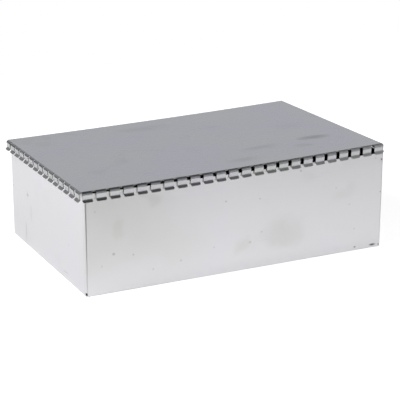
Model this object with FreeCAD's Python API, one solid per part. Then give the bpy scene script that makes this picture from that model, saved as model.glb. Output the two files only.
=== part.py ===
"""Sheet metal shielding case: a folded tray and a press-on lid with spring fingers.

Millimetres. The origin is the centre of the tray's underside, +X runs along the long
side, +Z is up. The lid lies on the tray as it does before it is pressed home: its -X
end is down over the wall, and at +X the flared lips rest on the wall's top edge.
"""
import FreeCAD, Part
import math
import os

# Tray
tray_length = 162.0          # outside, along X
tray_width = 102.0           # outside, along Y
tray_height = 50.0
tray_sheet = 0.5
tray_fold_radius = 0.4       # inside of the folds
tab_length = 8.0             # corner tab that lies behind the long wall
tab_top_step = 0.3           # tab's top edge below the wall's top edge
corner_relief = 2.0          # height of the notch under each corner tab

# Lid
lid_sheet = 0.4
finger_clearance = 0.15      # finger's inside to the tray wall, lid centred
finger_fold_radius = 0.75    # middle of the sheet, plate to finger
finger_lean = 8.0            # degrees that a finger leans in towards the wall
finger_run = 2.3             # straight part of a finger
lip_fold_radius = 0.8        # middle of the sheet, finger to lip
lip_flare = 50.0             # degrees that the lip stands out from upright
lip_run = 1.2
lip_corner_radius = 0.6
fingers_on_long_side = 24
fingers_on_short_side = 15
slot_width = 1.9
slot_root = 0.25             # slot's closed end, outward of the fold's start
corner_setback = 0.3         # end fingers stop this far short of the plate's corners

# How the lid lies on the tray
lid_shift = -1.3             # along X, from centred
low_end_gap = 0.9            # plate's underside over the -X wall
lip_seat_gap = 0.05          # lips over the +X wall's top edge

cut_margin = 5.0             # how far cutting tools run past the sheet

CENTRE = FreeCAD.Vector(0, 0, 0)
ALONG_X = FreeCAD.Vector(1, 0, 0)
ALONG_Y = FreeCAD.Vector(0, 1, 0)
UP = FreeCAD.Vector(0, 0, 1)


def turned(shape, axis, degrees):
    """Copy of a shape turned about an axis through the origin."""
    copy = shape.copy()
    copy.rotate(CENTRE, axis, degrees)
    return copy


def moved(shape, x=0.0, y=0.0, z=0.0):
    """Copy of a shape moved."""
    copy = shape.copy()
    copy.translate(FreeCAD.Vector(x, y, z))
    return copy


def heading_vector(heading):
    """Unit vector in the XZ plane, heading in degrees up from +X."""
    angle = math.radians(heading)
    return FreeCAD.Vector(math.cos(angle), 0, math.sin(angle))


def closed_face(edges):
    """Flat face inside a closed ring of edges."""
    return Part.Face(Part.Wire(Part.__sortEdges__(edges)))


def bent_sheet_section(start, heading, steps, sheet):
    """Section of a folded sheet in the XZ plane.

    steps follow the middle of the sheet: ("run", length) or ("fold", radius, degrees),
    where positive degrees fold to the left.
    """
    edges = []
    place = start
    left = heading_vector(heading + 90) * (sheet / 2)
    corners = [place + left, place - left]
    edges.append(Part.LineSegment(*corners).toShape())
    for kind, size, *turn in steps:
        if kind == "run":
            place = place + heading_vector(heading) * size
            left = heading_vector(heading + 90) * (sheet / 2)
            for index, corner in enumerate((place + left, place - left)):
                edges.append(Part.LineSegment(corners[index], corner).toShape())
                corners[index] = corner
        else:
            way = math.copysign(1, turn[0])
            fold_centre = place + heading_vector(heading + 90) * (way * size)
            for index, side in enumerate((1, -1)):
                reach = way * size - side * sheet / 2
                middle = fold_centre - heading_vector(heading + turn[0] / 2 + 90) * reach
                corner = fold_centre - heading_vector(heading + turn[0] + 90) * reach
                edges.append(Part.Arc(corners[index], middle, corner).toShape())
                corners[index] = corner
            heading += turn[0]
            place = fold_centre - heading_vector(heading + 90) * (way * size)
    edges.append(Part.LineSegment(*corners).toShape())
    return closed_face(edges)


# Tray: a channel for each pair of walls, and four corner tabs.
tray_fold_middle = tray_fold_radius + tray_sheet / 2
tray_fold_outside = tray_fold_radius + tray_sheet
long_wall_length = tray_length - 2 * tray_fold_outside
short_wall_length = tray_width - 2 * (tray_sheet + tray_fold_outside)


def tray_channel(span, run):
    """Base with two walls, `span` apart outside along X, and `run` long along Y."""
    wall_run = tray_height - tray_fold_outside
    section = bent_sheet_section(
        FreeCAD.Vector((tray_sheet - span) / 2, 0, tray_height),
        -90,
        [
            ("run", wall_run),
            ("fold", tray_fold_middle, 90),
            ("run", span - 2 * tray_fold_outside),
            ("fold", tray_fold_middle, 90),
            ("run", wall_run),
        ],
        tray_sheet,
    )
    return moved(section.extrude(ALONG_Y * run), y=-run / 2)


def corner_tab():
    """Tab at -X -Y, folded off the short wall to lie behind the long one."""
    plan = bent_sheet_section(
        FreeCAD.Vector((tray_sheet - tray_length) / 2, 0, -short_wall_length / 2),
        -90,
        [("fold", tray_fold_middle, 90), ("run", tab_length)],
        tray_sheet,
    )
    tab_height = tray_height - tab_top_step - corner_relief
    tab = plan.extrude(ALONG_Y * -tab_height)
    return moved(turned(tab, ALONG_X, -90).mirror(CENTRE, ALONG_Y), z=corner_relief)


def make_tray():
    """Tray folded from one sheet, its tabs spot-welded behind the long walls."""
    short_walls = tray_channel(tray_length, short_wall_length)
    long_walls = turned(tray_channel(tray_width, long_wall_length), UP, 90)
    tabs = [corner_tab()]
    tabs += [tab.mirror(CENTRE, ALONG_X) for tab in tabs]
    tabs += [tab.mirror(CENTRE, ALONG_Y) for tab in tabs]
    return short_walls.fuse([long_walls] + tabs).removeSplitter()


# Where a finger's parts lie, outward and down from the start of its fold.
lean = math.radians(finger_lean)
flare = math.radians(lip_flare)
finger_inset = (finger_fold_radius * math.cos(lean) - finger_run * math.sin(lean)
                - lip_fold_radius * (1 - math.cos(lean)))
finger_drop = (finger_fold_radius * (1 + math.sin(lean)) + finger_run * math.cos(lean)
               + lip_fold_radius * math.sin(lean))
lip_tip_drop = (finger_drop + lip_fold_radius * math.sin(flare) + lip_run * math.cos(flare)
                + lid_sheet / 2 * math.sin(flare))

# The flat plate ends where the folds start.
plate_overhang = finger_clearance + lid_sheet / 2 - finger_inset
plate_length = tray_length + 2 * plate_overhang
plate_width = tray_width + 2 * plate_overhang


def slot_tool():
    """Cutter for one slot, centred on Y = 0 and running outward from X = slot_root.

    Its lower end widens past the lips, which rounds each lip's corners.
    """
    half = slot_width / 2
    radius = lip_corner_radius
    bulge = radius * (1 - math.sqrt(0.5))
    bottom = -lip_tip_drop
    below = bottom - cut_margin

    def point(y, z):
        return FreeCAD.Vector(slot_root, y, z)

    edges = [
        Part.LineSegment(point(-half, cut_margin), point(half, cut_margin)).toShape(),
        Part.LineSegment(point(-half - radius, below), point(half + radius, below)).toShape(),
    ]
    for side in (1, -1):
        top_corner = point(side * half, cut_margin)
        arc_start = point(side * half, bottom + radius)
        arc_middle = point(side * (half + bulge), bottom + bulge)
        arc_end = point(side * (half + radius), bottom)
        low_corner = point(side * (half + radius), below)
        edges += [
            Part.LineSegment(top_corner, arc_start).toShape(),
            Part.Arc(arc_start, arc_middle, arc_end).toShape(),
            Part.LineSegment(arc_end, low_corner).toShape(),
        ]
    return closed_face(edges).extrude(ALONG_X * cut_margin)


def finger_row(length, finger_count):
    """Fingers along one edge of the plate, folded down from X = 0, centred on Y = 0."""
    section = bent_sheet_section(
        CENTRE,
        0,
        [
            ("fold", finger_fold_radius, -(90 + finger_lean)),
            ("run", finger_run),
            ("fold", lip_fold_radius, finger_lean + lip_flare),
            ("run", lip_run),
        ],
        lid_sheet,
    )
    strip = moved(section.extrude(ALONG_Y * length), y=-length / 2)
    first_slot = corner_setback - (length + slot_width) / 2
    pitch = (length - 2 * corner_setback + slot_width) / finger_count
    slots = [moved(slot_tool(), y=first_slot + index * pitch) for index in range(finger_count + 1)]
    return strip.cut(slots)


def make_lid():
    """Lid as it lies on the tray: low at -X, its lips on the wall's edge at +X."""
    plate = Part.makeBox(plate_length, plate_width, lid_sheet)
    plate = moved(plate, -plate_length / 2, -plate_width / 2, -lid_sheet / 2)
    long_row = moved(finger_row(plate_length, fingers_on_long_side), x=plate_width / 2)
    short_row = moved(finger_row(plate_width, fingers_on_short_side), x=plate_length / 2)
    rows = [turned(long_row, UP, 90), turned(long_row, UP, -90)]
    rows += [short_row, turned(short_row, UP, 180)]
    lid = plate.fuse(rows).removeSplitter()

    # At +X the lip's underside crosses the wall's outer edge this far below the
    # finger's inmost point, and the plate there is finger_drop higher still.
    lip_inside_radius = lip_fold_radius + lid_sheet / 2
    edge_out = -(finger_clearance + lid_shift) - lip_inside_radius * (1 - math.cos(flare))
    edge_drop = lip_inside_radius * math.sin(flare) + edge_out / math.tan(flare)
    high_end = tray_height + lip_seat_gap + edge_drop + finger_drop
    low_end = tray_height + low_end_gap + lid_sheet / 2
    tilt = math.degrees(math.asin((high_end - low_end) / plate_length))
    return moved(turned(lid, ALONG_Y, -tilt), x=lid_shift, z=(high_end + low_end) / 2)


os.makedirs("parts", exist_ok=True)
nodes = {"tray": make_tray(), "lid": make_lid()}
for name, shape in nodes.items():
    box = shape.BoundBox
    print(name, len(shape.Solids), "solid, valid:", shape.isValid(), "volume %.1f" % shape.Volume)
    print("  X %.3f to %.3f, Y %.3f to %.3f, Z %.3f to %.3f"
          % (box.XMin, box.XMax, box.YMin, box.YMax, box.ZMin, box.ZMax))
    shape.exportStep("parts/%s.step" % name)
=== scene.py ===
"""Looks of a tinplate shielding case: folded tray and press-on lid with spring fingers."""
import math

import bmesh
import bpy
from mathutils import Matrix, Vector


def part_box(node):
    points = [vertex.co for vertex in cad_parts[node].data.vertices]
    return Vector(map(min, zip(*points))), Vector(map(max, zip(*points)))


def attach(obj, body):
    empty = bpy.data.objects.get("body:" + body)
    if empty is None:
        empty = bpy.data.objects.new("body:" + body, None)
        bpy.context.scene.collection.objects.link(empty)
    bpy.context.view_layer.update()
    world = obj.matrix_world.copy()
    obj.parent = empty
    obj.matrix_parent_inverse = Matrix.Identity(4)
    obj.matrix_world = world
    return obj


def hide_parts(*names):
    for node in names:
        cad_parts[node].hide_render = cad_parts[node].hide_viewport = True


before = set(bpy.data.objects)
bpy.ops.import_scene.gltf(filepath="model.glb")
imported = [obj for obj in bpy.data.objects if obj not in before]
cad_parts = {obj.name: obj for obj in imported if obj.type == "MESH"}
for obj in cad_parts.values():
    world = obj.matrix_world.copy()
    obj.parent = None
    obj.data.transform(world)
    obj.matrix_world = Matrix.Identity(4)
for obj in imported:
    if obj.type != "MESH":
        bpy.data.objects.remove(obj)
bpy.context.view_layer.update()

# ---------------------------------------------------------------- tray
# Open-topped tray folded up from one 0.5 mm sheet of bright tinned steel. The short
# walls carry tabs that are folded behind the long walls and spot-welded, so a cut edge
# shows as a seam near each end of a long wall. Handling has left stains, pits and a dent.
MM = 0.001
tray_low, tray_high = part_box("tray")
front = tray_low.y / MM
back = tray_high.y / MM
left = tray_low.x / MM


def add_group(name, inputs, outputs, kind="ShaderNodeTree"):
    """Empty node group with the named sockets, and its input and output nodes."""
    group = bpy.data.node_groups.new(name, kind)
    for socket_name, socket_type, value in inputs:
        socket = group.interface.new_socket(socket_name, in_out="INPUT", socket_type=socket_type)
        if value is not None:
            socket.default_value = value
    for socket_name, socket_type in outputs:
        group.interface.new_socket(socket_name, in_out="OUTPUT", socket_type=socket_type)
    return group, group.nodes.new("NodeGroupInput"), group.nodes.new("NodeGroupOutput")


def math_node(tree, operation, first, second=None, third=None, clamp=False):
    """Math node; each operand is a socket or a number."""
    node = tree.nodes.new("ShaderNodeMath")
    node.operation = operation
    node.use_clamp = clamp
    for index, operand in enumerate((first, second, third)):
        if operand is None:
            continue
        if isinstance(operand, (int, float)):
            node.inputs[index].default_value = operand
        else:
            tree.links.new(operand, node.inputs[index])
    return node.outputs[0]


def noise_node(tree, vector, scale, detail=2.0, roughness=0.5, distortion=0.0):
    """Noise pattern on a vector; scale is in waves per metre."""
    node = tree.nodes.new("ShaderNodeTexNoise")
    node.inputs["Scale"].default_value = scale
    node.inputs["Detail"].default_value = detail
    node.inputs["Roughness"].default_value = roughness
    node.inputs["Distortion"].default_value = distortion
    tree.links.new(vector, node.inputs["Vector"])
    return node.outputs["Fac"]


def stretched(tree, vector, scale):
    """Vector scaled by a different amount on each axis."""
    node = tree.nodes.new("ShaderNodeMapping")
    node.inputs["Scale"].default_value = scale
    tree.links.new(vector, node.inputs["Vector"])
    return node.outputs["Vector"]


def smooth_range(tree, value, low, high, out_low=0.0, out_high=1.0):
    """Smooth step of a value from one range to another."""
    node = tree.nodes.new("ShaderNodeMapRange")
    node.interpolation_type = "SMOOTHSTEP"
    limits = {"From Min": low, "From Max": high, "To Min": out_low, "To Max": out_high}
    for name, limit in limits.items():
        node.inputs[name].default_value = limit
    tree.links.new(value, node.inputs["Value"])
    return node.outputs["Result"]


def build_rolled_sheet_group():
    """Grain, clouding and scuffs of rolled tinplate, as values over the surface."""
    group, given, result = add_group(
        "rolled_tinplate",
        [("Vector", "NodeSocketVector", None)],
        [("Grain", "NodeSocketFloat"), ("Cloud", "NodeSocketFloat"),
         ("Smudge", "NodeSocketFloat"), ("Scuff", "NodeSocketFloat"),
         ("Speck", "NodeSocketFloat"), ("Wave", "NodeSocketFloat")],
    )
    place = given.outputs["Vector"]

    # Grain and scuffs run along X, the way the sheet was rolled; waves per metre.
    grain_waves = (60.0, 1600.0, 1600.0)
    scuff_waves = (35.0, 900.0, 900.0)
    grain = noise_node(group, stretched(group, place, grain_waves), 1.0, detail=3.0, roughness=0.6)
    scuff_field = noise_node(
        group, stretched(group, place, scuff_waves), 1.0, detail=1.0, roughness=0.4, distortion=0.2)
    scuff_gate = smooth_range(group, noise_node(group, place, 55.0), 0.52, 0.66)
    scuff = math_node(group, "MULTIPLY", smooth_range(group, scuff_field, 0.70, 0.78), scuff_gate)

    # Clouds in the tin, slow waves in the sheet, and smudges that are wider than high.
    smudge_stretch = (1.0, 1.0, 1.6)
    cloud = noise_node(group, place, 22.0, detail=4.0, roughness=0.55, distortion=0.6)
    wave = noise_node(group, place, 17.0, detail=0.0)
    smudge_field = noise_node(
        group, stretched(group, place, smudge_stretch), 38.0, detail=3.0, distortion=1.2)
    smudge = smooth_range(group, smudge_field, 0.56, 0.74)

    # One cell in ten holds a speck, of a size drawn from the cell's own colour.
    cells_per_metre = 75.0
    largest_speck = 0.055
    speck_cells = group.nodes.new("ShaderNodeTexVoronoi")
    speck_cells.inputs["Scale"].default_value = cells_per_metre
    group.links.new(place, speck_cells.inputs["Vector"])
    speck_pick = group.nodes.new("ShaderNodeSeparateColor")
    group.links.new(speck_cells.outputs["Color"], speck_pick.inputs["Color"])
    speck_size = smooth_range(group, speck_pick.outputs[0], 0.90, 1.0, 0.0, largest_speck)
    speck = math_node(group, "LESS_THAN", speck_cells.outputs["Distance"], speck_size)
    for name, value in (("Grain", grain), ("Cloud", cloud), ("Smudge", smudge),
                        ("Scuff", scuff), ("Speck", speck), ("Wave", wave)):
        group.links.new(value, result.inputs[name])
    return group


def build_mark_group():
    """One round or oval mark: full strength at its centre, fading to 0 at its rim."""
    group, given, result = add_group(
        "handling_mark",
        [("Vector", "NodeSocketVector", None), ("Centre", "NodeSocketVector", (0.0, 0.0, 0.0)),
         ("Spread", "NodeSocketVector", (0.01, 0.01, 0.01)), ("Strength", "NodeSocketFloat", 1.0)],
        [("Mark", "NodeSocketFloat")],
    )
    offset = group.nodes.new("ShaderNodeVectorMath")
    offset.operation = "SUBTRACT"
    group.links.new(given.outputs["Vector"], offset.inputs[0])
    group.links.new(given.outputs["Centre"], offset.inputs[1])
    relative = group.nodes.new("ShaderNodeVectorMath")
    relative.operation = "DIVIDE"
    group.links.new(offset.outputs["Vector"], relative.inputs[0])
    group.links.new(given.outputs["Spread"], relative.inputs[1])
    length = group.nodes.new("ShaderNodeVectorMath")
    length.operation = "LENGTH"
    group.links.new(relative.outputs["Vector"], length.inputs[0])
    full_reach = 0.15
    fade = smooth_range(group, length.outputs["Value"], full_reach, 1.0, 1.0, 0.0)
    group.links.new(math_node(group, "MULTIPLY", fade, given.outputs["Strength"]), result.inputs["Mark"])
    return group


rolled_sheet = build_rolled_sheet_group()
handling_mark = build_mark_group()


def strongest_mark(tree, place, marks):
    """Largest of several marks at each point; a mark is (centre, spread, strength) in mm."""
    strongest = None
    for centre, spread, strength in marks:
        node = tree.nodes.new("ShaderNodeGroup")
        node.node_tree = handling_mark
        node.inputs["Centre"].default_value = [c * MM for c in centre]
        node.inputs["Spread"].default_value = [s * MM for s in spread]
        node.inputs["Strength"].default_value = strength
        tree.links.new(place, node.inputs["Vector"])
        value = node.outputs["Mark"]
        if strongest is not None:
            value = math_node(tree, "MAXIMUM", strongest, value)
        strongest = value
    return strongest


def tinplate(name, colour, cloud_colour, stain_and_shade_colour, roughness, stains_and_shade, stain_and_shade_raggedness,
             pits_and_seam_shade, dents=()):
    """Tinned steel with its own stains, pits and dents, and with painted shade; colours are linear."""
    # Painted shade: the fingers and the cut edges are darkened towards this dark yellowish colour.
    painted_shade_colour = (0.36, 0.36, 0.31)
    # Dark colour of the pits and of the painted shade along the seams.
    pit_and_shade_colour = (0.12, 0.115, 0.12)
    scuff_colour = tuple(0.72 * channel for channel in colour)

    # How much each pattern tints and roughens the sheet, and raises it in bump heights.
    smudge_tint, scuff_tint, speck_tint, painted_shade_tint = 0.08, 0.35, 0.28, 0.8
    grain_rough, stain_and_shade_rough, smudge_rough, pit_and_shade_rough, painted_shade_rough = 0.03, 0.10, 0.02, 0.25, 0.20
    grain_rise, wave_rise, pit_and_shade_rise, scuff_rise, dent_rise = 0.002, 1.2, -0.5, -0.03, -12.0
    ragged_waves = 70.0
    bump_height = 0.08 * MM
    bump_strength = 0.5

    material = bpy.data.materials.new(name)
    material.use_nodes = True
    tree = material.node_tree
    shader = tree.nodes["Principled BSDF"]
    shader.inputs["Metallic"].default_value = 1.0
    place = tree.nodes.new("ShaderNodeTexCoord").outputs["Object"]
    sheet = tree.nodes.new("ShaderNodeGroup")
    sheet.node_tree = rolled_sheet
    tree.links.new(place, sheet.inputs["Vector"])

    # Stains and painted shade are read at places pushed about by noise, so that their rims are ragged.
    ragged = tree.nodes.new("ShaderNodeTexNoise")
    ragged.inputs["Scale"].default_value = ragged_waves
    ragged.inputs["Detail"].default_value = 3.0
    tree.links.new(place, ragged.inputs["Vector"])
    centred = tree.nodes.new("ShaderNodeVectorMath")
    centred.operation = "SUBTRACT"
    centred.inputs[1].default_value = (0.5, 0.5, 0.5)
    tree.links.new(ragged.outputs["Color"], centred.inputs[0])
    ragged_place = tree.nodes.new("ShaderNodeVectorMath")
    ragged_place.operation = "MULTIPLY_ADD"
    ragged_place.inputs[1].default_value = [reach * MM for reach in stain_and_shade_raggedness]
    tree.links.new(centred.outputs["Vector"], ragged_place.inputs[0])
    tree.links.new(place, ragged_place.inputs[2])
    stain_and_shade = strongest_mark(tree, ragged_place.outputs["Vector"], stains_and_shade)
    stain_and_shade = math_node(tree, "MULTIPLY", stain_and_shade,
                      smooth_range(tree, sheet.outputs["Cloud"], 0.25, 0.65, 0.45, 1.0))
    # Pits, and the painted shade along the seams.
    pit_and_seam_shade = strongest_mark(tree, place, pits_and_seam_shade)

    def mixed(first, second, factor):
        """Mix of two colours; inputs 6 and 7 and output 2 are the node's colour sockets."""
        node = tree.nodes.new("ShaderNodeMix")
        node.data_type = "RGBA"
        for socket, value in ((node.inputs[6], first), (node.inputs[7], second)):
            if isinstance(value, tuple):
                socket.default_value = (*value, 1.0)
            else:
                tree.links.new(value, socket)
        tree.links.new(factor, node.inputs[0])
        return node.outputs[2]

    tint = mixed(colour, cloud_colour, smooth_range(tree, sheet.outputs["Cloud"], 0.35, 0.65))
    smudge_amount = math_node(tree, "MULTIPLY", sheet.outputs["Smudge"], smudge_tint)
    tint = mixed(tint, stain_and_shade_colour, math_node(tree, "MAXIMUM", stain_and_shade, smudge_amount, clamp=True))
    scuff_amount = math_node(tree, "MULTIPLY", sheet.outputs["Scuff"], scuff_tint)
    tint = mixed(tint, scuff_colour, scuff_amount)
    speck_amount = math_node(tree, "MULTIPLY", sheet.outputs["Speck"], speck_tint)
    dark = math_node(tree, "MAXIMUM", pit_and_seam_shade, speck_amount)
    tint = mixed(tint, pit_and_shade_colour, dark)
    # Painted shade: the fingers (with a yellowish tint) and the cut edges are darkened, and are also
    # made rougher.
    shade_attribute = tree.nodes.new("ShaderNodeAttribute")
    shade_attribute.attribute_name = "painted_shade"
    painted_shade = shade_attribute.outputs["Fac"]
    tint = mixed(tint, painted_shade_colour, math_node(tree, "MULTIPLY", painted_shade, painted_shade_tint))
    tree.links.new(tint, shader.inputs["Base Color"])

    smooth = roughness - grain_rough / 2
    rough = math_node(tree, "MULTIPLY_ADD", sheet.outputs["Grain"], grain_rough, smooth)
    rough = math_node(tree, "MULTIPLY_ADD", stain_and_shade, stain_and_shade_rough, rough)
    rough = math_node(tree, "MULTIPLY_ADD", sheet.outputs["Smudge"], smudge_rough, rough)
    rough = math_node(tree, "MULTIPLY_ADD", dark, pit_and_shade_rough, rough)
    rough = math_node(tree, "MULTIPLY_ADD", painted_shade, painted_shade_rough, rough, clamp=True)
    tree.links.new(rough, shader.inputs["Roughness"])

    height = math_node(tree, "MULTIPLY", sheet.outputs["Wave"], wave_rise)
    height = math_node(tree, "MULTIPLY_ADD", sheet.outputs["Grain"], grain_rise, height)
    height = math_node(tree, "MULTIPLY_ADD", dark, pit_and_shade_rise, height)
    height = math_node(tree, "MULTIPLY_ADD", sheet.outputs["Scuff"], scuff_rise, height)
    if dents:
        height = math_node(tree, "MULTIPLY_ADD", strongest_mark(tree, place, dents), dent_rise, height)
    bump = tree.nodes.new("ShaderNodeBump")
    bump.inputs["Strength"].default_value = bump_strength
    bump.inputs["Distance"].default_value = bump_height
    tree.links.new(height, bump.inputs["Height"])
    tree.links.new(bump.outputs["Normal"], shader.inputs["Normal"])
    return material


# Marks on the tray: each one's centre and spread in mm, and its strength.
tray_stains_and_shade = [
    # The first, broad mark is painted shade over the left half of the front wall; the others are stains.
    ((-78, front, 28), (80, 3, 75), 0.58),
    ((-65.4, front, 32.1), (13, 3, 10), 0.85),
    ((-48.5, front, 43.0), (13, 3, 6), 0.75),
    ((3.2, front, 14.4), (9, 3, 7), 0.38),
    ((23.3, front, 16.3), (16, 3, 10), 0.45),
    ((58.6, front, 31.0), (11, 3, 6), 0.22),
    ((36.9, front, 40.7), (6, 3, 4), 0.22),
    ((left, 21.9, 22), (3, 2.2, 7), 0.35),
    ((left, 5, 34), (3, 16, 8), 0.18),
]
# Painted shade along the cut edges that show as seams, drawn together with the pits.
seam_shades = [
    ((-80.1, front, 50.0), (0.34, 1, 66), 0.55), ((80.0, front, 30.0), (0.35, 1, 50), 0.30),
    ((-79.9, back, 34.0), (0.45, 1, 60), 0.60), ((80.0, back, 34.0), (0.45, 1, 60), 0.60),
]
tray_pits = [
    ((-8.4, front, 36.7), (1.0, 1, 0.7), 0.26), ((10.1, front, 35.5), (0.8, 1, 0.6), 0.26),
    ((32.6, front, 46.6), (0.8, 1, 0.7), 0.40), ((53.2, front, 35.1), (0.9, 1, 0.6), 0.18),
    ((61.3, front, 25.5), (1.1, 1, 0.5), 0.18), ((64.6, front, 12.1), (0.8, 1, 0.7), 0.20),
    ((11.2, front, 18.5), (0.8, 1, 0.7), 0.22), ((4.9, front, 14.1), (1.1, 1, 0.8), 0.22),
    ((-56.9, front, 17.5), (0.8, 1, 0.8), 0.24), ((-46.8, front, 8.6), (0.8, 1, 0.9), 0.18),
    ((-72.8, front, 14.2), (0.6, 1, 0.8), 0.18), ((-14.7, front, 14.5), (0.8, 1, 0.7), 0.18),
    ((-32.3, front, 10.7), (0.8, 1, 0.7), 0.26), ((-75.7, front, 41.1), (0.8, 1, 0.8), 0.16),
    ((79.4, front, 46.7), (0.7, 1, 0.8), 0.90), ((75.9, front, 47.7), (0.5, 1, 0.5), 0.35),
    ((79.4, front, 29.7), (0.5, 1, 0.6), 0.50), ((65.3, front, 2.2), (1.0, 1, 0.7), 0.65),
    ((75.8, front, 1.9), (2.6, 1, 0.9), 0.90), ((79.7, front, 1.5), (0.9, 1, 0.7), 0.70),
    ((left, 49.1, 27.2), (1, 0.9, 0.9), 0.45),
    ((left, 26.4, 28.1), (1, 2.4, 0.7), 0.40), ((left, 26.4, 28.1), (1, 0.8, 3.0), 0.25),
    ((left, 30.0, 8.0), (1, 0.8, 7.0), 0.20), ((left, -22.6, 43.0), (1, 0.9, 0.8), 0.15),
    ((left, -29.9, 19.3), (1, 0.9, 0.8), 0.15), ((left, -25.5, 4.2), (1, 4.5, 0.5), 0.22),
]
tray_dents = [((left, 30.6, 5.5), (2, 1.6, 8.0), 1.0)]
tray_metal = tinplate(
    "tray_tinplate", colour=(0.785, 0.778, 0.805), cloud_colour=(0.782, 0.780, 0.790),
    stain_and_shade_colour=(0.66, 0.658, 0.635), roughness=0.30,
    stains_and_shade=tray_stains_and_shade, stain_and_shade_raggedness=(18, 0, 18), pits_and_seam_shade=tray_pits + seam_shades,
    dents=tray_dents)
tray = bpy.data.objects["tray"]
for slot in tray.material_slots:
    slot.material = tray_metal

# ---------------------------------------------------------------- lid
# Press-on lid folded from 0.4 mm tinned spring sheet. A row of fingers runs round the
# plate, each folded down, leaning in to grip the wall, with a flared lip to guide it.
# Handling has left the plate slightly dished along its length.
lid_low, lid_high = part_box("lid")
sheet = 0.4 * MM
fold_radius = 1.30 * MM
finger_lean = math.radians(8)
finger_run = 1.667 * MM
lip_fold_radius = 0.8 * MM
lip_flare = math.radians(50)
lip_run = 1.195 * MM
lip_corner = 0.6 * MM
slot_width = 1.9 * MM
root_turn = math.radians(20)
corner_setback = 0.3 * MM
root_steps = 3
plate_dish = 0.55 * MM
long_count, short_count = 24, 15
fold_steps, drop_steps, lip_fold_steps, lip_steps, finger_columns = 10, 3, 6, 5, 6
plate_columns, plate_rows = 54, 34
sharp_angle = math.radians(35)
# Strength of the painted shade on the fingers' faces and on the cut edges.
finger_face_shade, cut_edge_shade = 0.35, 1.0


def finger_path():
    """Points, as (outward, up), and headings along the middle of a finger from its root."""
    heading = -root_turn
    place = fold_radius * Vector((math.sin(root_turn), math.cos(root_turn) - 1.0))
    spots = [(place.copy(), heading)]

    def arc(radius, turn, count):
        nonlocal place, heading
        way = math.copysign(1.0, turn)
        centre = place + way * radius * Vector((-math.sin(heading), math.cos(heading)))
        start = heading
        for step in range(1, count + 1):
            heading = start + turn * step / count
            place = centre - way * radius * Vector((-math.sin(heading), math.cos(heading)))
            spots.append((place.copy(), heading))

    def run(length, count):
        nonlocal place
        start = place.copy()
        for step in range(1, count + 1):
            place = start + length * step / count * Vector((math.cos(heading), math.sin(heading)))
            spots.append((place.copy(), heading))

    arc(fold_radius, -(math.pi / 2 + finger_lean - root_turn), fold_steps)
    run(finger_run, drop_steps)
    arc(lip_fold_radius, finger_lean + lip_flare, lip_fold_steps)
    run(lip_run, lip_steps)
    return spots


def finger_mesh(width):
    """One finger, folded down from the plate's edge along +X, centred on Y = 0."""
    mesh_data = bmesh.new()
    rows = []
    spots = finger_path()
    tip = spots[-1][0]
    for spot, heading in spots:
        from_tip = (tip - spot).length
        narrowing = 0.0
        if from_tip < lip_corner:
            narrowing = lip_corner - math.sqrt(lip_corner ** 2 - (lip_corner - from_tip) ** 2)
        normal = Vector((-math.sin(heading), math.cos(heading)))
        row = []
        for side in (1, -1):
            face_place = spot + side * sheet / 2 * normal
            across = [(width / 2 - narrowing) * (2 * c / finger_columns - 1)
                      for c in range(finger_columns + 1)]
            row.append([mesh_data.verts.new((face_place.x, y, face_place.y)) for y in across])
        rows.append(row)
    # Each face records how much painted shade it takes: some on the finger's faces, full on its cut
    # edges.
    painted_shade = mesh_data.faces.layers.float.new("painted_shade")
    for lower, upper in zip(rows, rows[1:]):
        for c in range(finger_columns):
            outer = (lower[0][c], upper[0][c], upper[0][c + 1], lower[0][c + 1])
            inner = (lower[1][c + 1], upper[1][c + 1], upper[1][c], lower[1][c])
            mesh_data.faces.new(outer)[painted_shade] = finger_face_shade
            mesh_data.faces.new(inner)[painted_shade] = finger_face_shade
        for c in (0, -1):
            ring = (lower[0][c], lower[1][c], upper[1][c], upper[0][c])
            mesh_data.faces.new(ring if c == 0 else ring[::-1])[painted_shade] = cut_edge_shade
    for row, flip in ((rows[0], False), (rows[-1], True)):
        for c in range(finger_columns):
            ring = (row[0][c], row[0][c + 1], row[1][c + 1], row[1][c])
            mesh_data.faces.new(ring[::-1] if flip else ring)[painted_shade] = cut_edge_shade
    bmesh.ops.recalc_face_normals(mesh_data, faces=mesh_data.faces)
    mesh = bpy.data.meshes.new("finger")
    mesh_data.to_mesh(mesh)
    mesh_data.free()
    return bpy.data.objects.new("finger", mesh)


# Plate sizes, from the tray it covers: the fingers' inmost line clears the wall by the
# clearance, and the flat plate stops where the folds start. A row of fingers ends
# corner_setback short of its corner, which lies row_reach past the plate.
finger_clearance = 0.15 * MM
finger_inset = (fold_radius * math.cos(finger_lean) - finger_run * math.sin(finger_lean)
                - lip_fold_radius * (1 - math.cos(finger_lean)))
plate_overhang = finger_clearance + sheet / 2 - finger_inset
plate_length = tray_high.x - tray_low.x + 2 * plate_overhang
plate_width = tray_high.y - tray_low.y + 2 * plate_overhang
row_reach = 0.63 * MM
long_row = plate_length + 2 * (row_reach - corner_setback)
short_row = plate_width + 2 * (row_reach - corner_setback)


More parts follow.
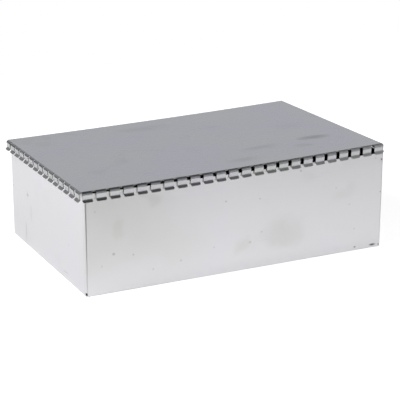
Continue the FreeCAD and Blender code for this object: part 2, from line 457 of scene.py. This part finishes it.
def plate_mesh():
    """Flat plate with the start of the bend along each edge, where the slots end."""
    def lines(half, count):
        """Places across the plate, each with how far the middle of the sheet has fallen."""
        turns = [root_turn * k / root_steps for k in range(1, root_steps + 1)]
        bend = [(half + fold_radius * math.sin(turn), fold_radius * (1 - math.cos(turn)))
                for turn in turns]
        flat = [(half * (2 * i / count - 1), 0.0) for i in range(count + 1)]
        return [(-place, fall) for place, fall in reversed(bend)] + flat + bend

    xs = lines(plate_length / 2, plate_columns)
    ys = lines(plate_width / 2, plate_rows)
    mesh_data = bmesh.new()
    painted_shade = mesh_data.faces.layers.float.new("painted_shade")
    corners = {}

    def corner(i, j, side):
        """Vertex above (side 1) or below (side -1) the middle of the sheet."""
        if (i, j, side) not in corners:
            (x, fall_x), (y, fall_y) = xs[i], ys[j]
            if fall_y and i in (root_steps, len(xs) - 1 - root_steps):
                x = math.copysign(long_row / 2, x)
            if fall_x and j in (root_steps, len(ys) - 1 - root_steps):
                y = math.copysign(short_row / 2, y)
            turn = math.acos(1 - max(fall_x, fall_y) / fold_radius)
            out = side * sheet / 2 * math.sin(turn)
            x += math.copysign(out, x) if fall_x else 0.0
            y += math.copysign(out, y) if fall_y else 0.0
            z = side * sheet / 2 * math.cos(turn) - max(fall_x, fall_y)
            corners[i, j, side] = mesh_data.verts.new((x, y, z))
        return corners[i, j, side]

    # Corners are notched: no face lies in both bends. An edge of one face only is cut.
    borders = {}
    for i in range(len(xs) - 1):
        for j in range(len(ys) - 1):
            in_bend_x = not root_steps <= i < len(xs) - 1 - root_steps
            in_bend_y = not root_steps <= j < len(ys) - 1 - root_steps
            if in_bend_x and in_bend_y:
                continue
            ring = [(i, j), (i + 1, j), (i + 1, j + 1), (i, j + 1)]
            mesh_data.faces.new([corner(m, n, 1) for m, n in ring])
            mesh_data.faces.new([corner(m, n, -1) for m, n in reversed(ring)])
            for first, second in zip(ring, ring[1:] + ring[:1]):
                if borders.pop((second, first), None) is None:
                    borders[first, second] = True
    # The cut edges' faces carry full painted shade.
    for first, second in borders:
        ring = (corner(*second, 1), corner(*first, 1), corner(*first, -1), corner(*second, -1))
        mesh_data.faces.new(ring)[painted_shade] = cut_edge_shade
    bmesh.ops.recalc_face_normals(mesh_data, faces=mesh_data.faces)
    mesh = bpy.data.meshes.new("plate")
    mesh_data.to_mesh(mesh)
    mesh_data.free()
    return bpy.data.objects.new("plate", mesh)


def lid_tree():
    """Sets rows of fingers round the plate, dishes the lid along X and tilts it."""
    tree, given, result = add_group(
        "lid_with_fingers",
        [("Geometry", "NodeSocketGeometry", None),
         ("Long Finger", "NodeSocketObject", None), ("Short Finger", "NodeSocketObject", None),
         ("Long Count", "NodeSocketInt", None), ("Short Count", "NodeSocketInt", None),
         ("Long Pitch", "NodeSocketFloat", None), ("Short Pitch", "NodeSocketFloat", None),
         ("Plate Length", "NodeSocketFloat", None), ("Plate Width", "NodeSocketFloat", None),
         ("Dish", "NodeSocketFloat", None), ("Tilt", "NodeSocketFloat", None),
         ("Material", "NodeSocketMaterial", None)],
        [("Geometry", "NodeSocketGeometry")],
        kind="GeometryNodeTree",
    )
    nodes, links = tree.nodes, tree.links

    join = nodes.new("GeometryNodeJoinGeometry")
    links.new(given.outputs["Geometry"], join.inputs["Geometry"])
    for kind, depth_name, base_angle in (("Long", "Plate Width", math.pi / 2),
                                         ("Short", "Plate Length", 0.0)):
        count, pitch = given.outputs[kind + " Count"], given.outputs[kind + " Pitch"]
        run = math_node(tree, "MULTIPLY", math_node(tree, "SUBTRACT", count, 1.0), pitch)
        start = nodes.new("ShaderNodeCombineXYZ")
        links.new(math_node(tree, "MULTIPLY", given.outputs[depth_name], 0.5), start.inputs["X"])
        links.new(math_node(tree, "MULTIPLY", run, -0.5), start.inputs["Y"])
        offset = nodes.new("ShaderNodeCombineXYZ")
        links.new(pitch, offset.inputs["Y"])
        line = nodes.new("GeometryNodeMeshLine")
        links.new(count, line.inputs["Count"])
        links.new(start.outputs[0], line.inputs["Start Location"])
        links.new(offset.outputs[0], line.inputs["Offset"])
        finger = nodes.new("GeometryNodeObjectInfo")
        links.new(given.outputs[kind + " Finger"], finger.inputs["Object"])
        row = nodes.new("GeometryNodeInstanceOnPoints")
        links.new(line.outputs["Mesh"], row.inputs["Points"])
        links.new(finger.outputs["Geometry"], row.inputs["Instance"])
        for turn in (base_angle, base_angle + math.pi):
            side = nodes.new("GeometryNodeTransform")
            side.inputs["Rotation"].default_value = (0.0, 0.0, turn)
            links.new(row.outputs["Instances"], side.inputs["Geometry"])
            links.new(side.outputs["Geometry"], join.inputs["Geometry"])
    realize = nodes.new("GeometryNodeRealizeInstances")
    links.new(join.outputs["Geometry"], realize.inputs["Geometry"])

    # Dish: z rises with the square of x, from minus the dish at the middle to 0 at the ends.
    position = nodes.new("GeometryNodeInputPosition")
    split = nodes.new("ShaderNodeSeparateXYZ")
    links.new(position.outputs[0], split.inputs[0])
    half_length = math_node(tree, "MULTIPLY", given.outputs["Plate Length"], 0.5)
    along = math_node(tree, "DIVIDE", split.outputs["X"], half_length)
    square = math_node(tree, "MINIMUM", math_node(tree, "MULTIPLY", along, along), 1.0)
    below_ends = math_node(tree, "SUBTRACT", square, 1.0)
    rise = math_node(tree, "MULTIPLY", below_ends, given.outputs["Dish"])
    lift = nodes.new("ShaderNodeCombineXYZ")
    links.new(rise, lift.inputs["Z"])
    dished = nodes.new("GeometryNodeSetPosition")
    links.new(realize.outputs["Geometry"], dished.inputs["Geometry"])
    links.new(lift.outputs[0], dished.inputs["Offset"])

    angles = nodes.new("ShaderNodeCombineXYZ")
    links.new(math_node(tree, "MULTIPLY", given.outputs["Tilt"], -1.0), angles.inputs["Y"])
    tilted = nodes.new("GeometryNodeTransform")
    links.new(dished.outputs["Geometry"], tilted.inputs["Geometry"])
    links.new(angles.outputs[0], tilted.inputs["Rotation"])
    finish = nodes.new("GeometryNodeSetMaterial")
    links.new(tilted.outputs["Geometry"], finish.inputs["Geometry"])
    links.new(given.outputs["Material"], finish.inputs["Material"])
    links.new(finish.outputs["Geometry"], result.inputs["Geometry"])
    return tree


# Marks on the lid, placed where the CAD lid lies at rest.
lid_stains = [
    ((56.6, -23.3, 53.6), (10, 4.5, 3), 1.0), ((43.9, -32.3, 53.2), (9, 4, 3), 0.45),
    ((23.0, -25.5, 52.6), (16, 5, 3), 0.35), ((7.6, -40.2, 52.3), (12, 5, 3), 0.30),
    ((-11.5, 36.7, 52), (22, 7, 3), 0.20), ((58, 2, 54), (14, 8, 3), 0.15),
]
lid_pits = [((31, 8, 53.4), (0.5, 0.5, 1), 0.2), ((-35, -12, 51.6), (0.5, 0.4, 1), 0.2)]
lid_metal = tinplate(
    "lid_tinplate", colour=(0.705, 0.705, 0.775), cloud_colour=(0.705, 0.72, 0.735),
    stain_and_shade_colour=(0.50, 0.50, 0.51), roughness=0.27, stains_and_shade=lid_stains,
    stain_and_shade_raggedness=(14, 7, 0), pits_and_seam_shade=lid_pits)

# The tilt comes from how much higher the CAD lid stands than it would lying flat.
finger_tip = finger_path()[-1][0]
lip_edge_reach = finger_tip.x + sheet / 2 * math.sin(lip_flare)
flat_height = sheet / 2 - finger_tip.y + sheet / 2 * math.cos(lip_flare)
tilt_run = plate_length + lip_edge_reach
lid_tilt = math.asin((lid_high.z - lid_low.z - flat_height) / tilt_run)

lid = plate_mesh()
lid.name = "lid_sheet"
bpy.context.scene.collection.objects.link(lid)
long_pitch = (long_row + slot_width) / long_count
short_pitch = (short_row + slot_width) / short_count
long_finger = finger_mesh(long_pitch - slot_width)
short_finger = finger_mesh(short_pitch - slot_width)
lid_group = lid_tree()
modifier = lid.modifiers.new("lid_with_fingers", "NODES")
modifier.node_group = lid_group
lid_inputs = {
    "Long Finger": long_finger, "Short Finger": short_finger,
    "Long Count": long_count, "Short Count": short_count,
    "Long Pitch": long_pitch, "Short Pitch": short_pitch,
    "Plate Length": plate_length, "Plate Width": plate_width,
    "Dish": plate_dish, "Tilt": lid_tilt, "Material": lid_metal,
}
for item in lid_group.interface.items_tree:
    if item.in_out == "INPUT" and item.name in lid_inputs:
        modifier[item.identifier] = lid_inputs[item.name]
depsgraph = bpy.context.evaluated_depsgraph_get()
made = bpy.data.meshes.new_from_object(lid.evaluated_get(depsgraph))
lid.modifiers.clear()
lid.data = made
for spare in (long_finger, short_finger):
    bpy.data.objects.remove(spare)

# The made lid takes the CAD lid's place: same top, and centred in its length and width.
made_low = Vector([min(v.co[axis] for v in made.vertices) for axis in range(3)])
made_high = Vector([max(v.co[axis] for v in made.vertices) for axis in range(3)])
shift = (lid_low + lid_high - made_low - made_high) / 2
shift.z = lid_high.z - made_high.z
for vertex in made.vertices:
    vertex.co += shift
made.shade_smooth()
made.set_sharp_from_angle(angle=sharp_angle)
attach(lid, "lid")
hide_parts("lid")

# ---------------------------------------------------------------- studio
# White table in a light tent: grey walls that the lid mirrors as mid grey, and a dim
# ceiling that the folds and lips mirror as dark lines. The camera sees white behind the
# case, and the table's glow leaves only a faint shadow of it.
table_reach = 0.42
table_front = -0.30
table_gap = 0.02 * MM
table_colour = (0.86, 0.86, 0.87, 1.0)
table_glow_seen, table_glow_mirrored = 0.70, 0.28
white = (1.0, 1.0, 1.0, 1.0)
floor_mesh = bmesh.new()
bmesh.ops.create_grid(floor_mesh, x_segments=1, y_segments=1, size=table_reach)
floor_data = bpy.data.meshes.new("table")
floor_mesh.to_mesh(floor_data)
floor_mesh.free()
floor = bpy.data.objects.new("table", floor_data)
for vertex in floor_data.vertices:
    vertex.co.y = max(vertex.co.y, table_front)
    vertex.co.z = tray_low.z - table_gap
bpy.context.scene.collection.objects.link(floor)

floor_material = bpy.data.materials.new("table_white")
floor_material.use_nodes = True
floor_tree = floor_material.node_tree
floor_shader = floor_tree.nodes["Principled BSDF"]
floor_shader.inputs["Base Color"].default_value = table_colour
floor_shader.inputs["Roughness"].default_value = 0.9
floor_shader.inputs["Specular IOR Level"].default_value = 0.0
floor_shader.inputs["Emission Color"].default_value = white
ray = floor_tree.nodes.new("ShaderNodeLightPath")
glow_seen = math_node(floor_tree, "MULTIPLY", ray.outputs["Is Camera Ray"], table_glow_seen)
mirrored_ray = math_node(
    floor_tree, "MAXIMUM", ray.outputs["Is Glossy Ray"], ray.outputs["Is Transmission Ray"])
glow = math_node(floor_tree, "MULTIPLY_ADD", mirrored_ray, table_glow_mirrored, glow_seen)
floor_tree.links.new(glow, floor_shader.inputs["Emission Strength"])
floor_data.materials.append(floor_material)

# The tent's strength by direction, whose Z is the sine of the angle above the table.
low_level, wall_level, ceiling_share = 0.02, 0.36, 0.10
back_level, front_right_gain = 0.22, 1.2
tent_colour = (0.97, 0.975, 1.0, 1.0)
world = bpy.data.worlds.new("light_tent")
bpy.context.scene.world = world
world.use_nodes = True
world_tree = world.node_tree
world_tree.nodes.clear()
output = world_tree.nodes.new("ShaderNodeOutputWorld")
seen_white = world_tree.nodes.new("ShaderNodeBackground")
seen_white.inputs["Color"].default_value = white
tent = world_tree.nodes.new("ShaderNodeBackground")
world_ray = world_tree.nodes.new("ShaderNodeLightPath")
view = world_tree.nodes.new("ShaderNodeTexCoord")
direction = world_tree.nodes.new("ShaderNodeSeparateXYZ")
world_tree.links.new(view.outputs["Generated"], direction.inputs[0])
rightward, backward, upward = direction.outputs
walls = smooth_range(world_tree, upward, 0.06, 0.22, low_level, wall_level)
ceiling = smooth_range(world_tree, upward, 0.45, 0.66, 1.0, ceiling_share)
back_wall = smooth_range(world_tree, backward, 0.05, 0.60, 0.0, back_level)
right_part = smooth_range(world_tree, rightward, -0.25, 0.12)
back_wall = math_node(world_tree, "MULTIPLY", back_wall, right_part)
front_part = smooth_range(world_tree, backward, -0.25, -0.65, 0.0, front_right_gain)
far_right_part = smooth_range(world_tree, rightward, 0.32, 0.58)
front_glow = math_node(world_tree, "MULTIPLY", far_right_part, front_part)
walls = math_node(world_tree, "MULTIPLY_ADD", walls, front_glow, walls)
all_walls = math_node(world_tree, "ADD", walls, back_wall)
tent_level = math_node(world_tree, "MULTIPLY", all_walls, ceiling)
tent.inputs["Color"].default_value = tent_colour
world_tree.links.new(tent_level, tent.inputs["Strength"])
choose = world_tree.nodes.new("ShaderNodeMixShader")
world_tree.links.new(world_ray.outputs["Is Camera Ray"], choose.inputs["Fac"])
world_tree.links.new(tent.outputs["Background"], choose.inputs[1])
world_tree.links.new(seen_white.outputs["Background"], choose.inputs[2])
world_tree.links.new(choose.outputs["Shader"], output.inputs["Surface"])


def soft_lamp(name, place, aim, size, power, mirrored):
    """Large square lamp; one that is not mirrored only lights the table."""
    lamp = bpy.data.lights.new(name, "AREA")
    lamp.shape = "SQUARE"
    lamp.size = size
    lamp.energy = power
    holder = bpy.data.objects.new(name, lamp)
    holder.location = place
    holder.rotation_euler = (Vector(aim) - Vector(place)).to_track_quat("-Z", "Y").to_euler()
    holder.visible_glossy = mirrored
    bpy.context.scene.collection.objects.link(holder)


soft_lamp("lamp_left", place=(-0.74, -0.12, 0.52), aim=(-0.24, 0.10, 0.0),
          size=0.5, power=7.8, mirrored=False)
soft_lamp("lamp_front", place=(0.78, -0.68, 0.46), aim=(0.22, -0.14, 0.0),
          size=0.8, power=3.8, mirrored=False)
soft_lamp("lamp_above_right", place=(0.58, -0.15, 0.62), aim=(0.10, -0.05, 0.05),
          size=0.5, power=0.30, mirrored=True)

# ---------------------------------------------------------------- camera
# Long lens from the front left, a little above the lid, with the whole case in view.
camera_data = bpy.data.cameras.new("camera")
camera_data.sensor_width = 36.0
camera_data.lens = 122.9
camera_data.clip_start, camera_data.clip_end = 0.01, 20.0
camera = bpy.data.objects.new("camera", camera_data)
azimuth, elevation, roll = math.radians(-26.38), math.radians(17.66), math.radians(-0.11)
camera.location = (-0.2955, -0.6010, 0.2349)
camera.rotation_euler = (math.pi / 2 - elevation, roll, azimuth)
bpy.context.scene.collection.objects.link(camera)
bpy.context.scene.camera = camera

bpy.context.scene.view_settings.view_transform = "Standard"
